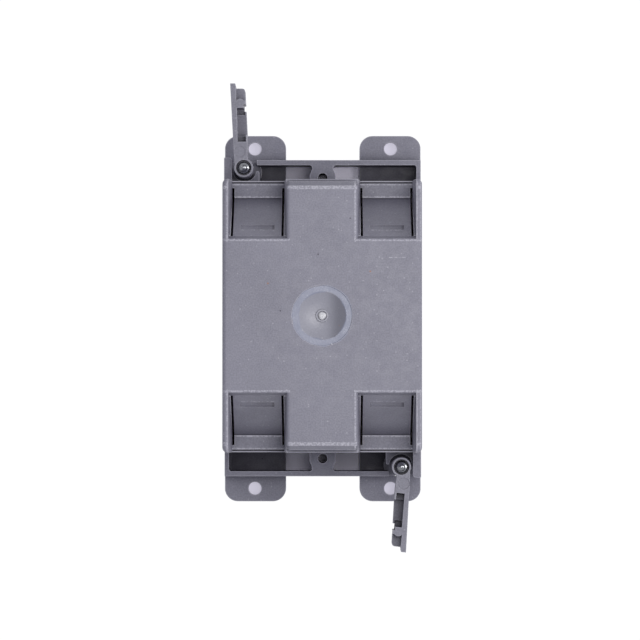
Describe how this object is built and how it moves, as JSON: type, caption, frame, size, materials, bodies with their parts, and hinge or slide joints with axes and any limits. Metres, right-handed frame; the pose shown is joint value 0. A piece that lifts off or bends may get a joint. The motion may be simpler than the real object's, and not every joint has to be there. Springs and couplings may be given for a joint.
{
  "type": "plastic switch box",
  "caption": "Plastic switch box for a finished wall, with screw ears, sprung cable flaps at the back and swing-out clamp wings on long screws.",
  "frame": {"origin": "centre of the open front's plane, on which the box stands", "axes": "+Z from the open front to the back panel, +Y along the box to its upper end, +X across it to the right as seen from behind"},
  "size_m": [0.0586, 0.1367, 0.07],
  "materials": {
    "body": "moulded satin grey",
    "flap": "moulded satin grey",
    "wing": "moulded satin grey",
    "screw": "bright zinc plate"
  },
  "bodies": {
    "root": {"box_body": "body"},
    "flap_upper_left": {"cable_flap_upper_left": "flap"},
    "flap_upper_right": {"cable_flap_upper_right": "flap"},
    "flap_lower_left": {"cable_flap_lower_left": "flap"},
    "flap_lower_right": {"cable_flap_lower_right": "flap"},
    "screw_upper": {"clamp_screw_upper": "screw"},
    "wing_upper": {"clamp_wing_upper": "wing"},
    "screw_lower": {"clamp_screw_lower": "screw"},
    "wing_lower": {"clamp_wing_lower": "wing"}
  },
  "joints": [
    {"name": "flap_upper_left_push", "type": "hinge", "parent": "root", "child": "flap_upper_left", "pos_m": [-0.01837, 0.03358, 0.04795], "axis": [1, 0, 0], "range_deg": [0, 30], "stiffness_Nm_per_rad": 0.05},
    {"name": "flap_upper_right_push", "type": "hinge", "parent": "root", "child": "flap_upper_right", "pos_m": [0.01837, 0.03358, 0.04795], "axis": [1, 0, 0], "range_deg": [0, 30], "stiffness_Nm_per_rad": 0.05},
    {"name": "flap_lower_left_push", "type": "hinge", "parent": "root", "child": "flap_lower_left", "pos_m": [-0.01837, -0.03358, 0.04795], "axis": [-1, 0, 0], "range_deg": [0, 30], "stiffness_Nm_per_rad": 0.05},
    {"name": "flap_lower_right_push", "type": "hinge", "parent": "root", "child": "flap_lower_right", "pos_m": [0.01837, -0.03358, 0.04795], "axis": [-1, 0, 0], "range_deg": [0, 30], "stiffness_Nm_per_rad": 0.05},
    {"name": "screw_turn_upper", "type": "hinge", "parent": "root", "child": "screw_upper", "pos_m": [-0.023, 0.04362, 0], "axis": [0, 0, 1], "range_deg": [-95, 0]},
    {"name": "wing_travel_upper", "type": "slide", "parent": "screw_upper", "child": "wing_upper", "axis": [0, 0, -1], "range_m": [0, 0.014]},
    {"name": "screw_turn_lower", "type": "hinge", "parent": "root", "child": "screw_lower", "pos_m": [0.023, -0.04362, 0], "axis": [0, 0, 1], "range_deg": [-88.9, 6.1]},
    {"name": "wing_travel_lower", "type": "slide", "parent": "screw_lower", "child": "wing_lower", "axis": [0, 0, -1], "range_m": [0, 0.014]}
  ]
}
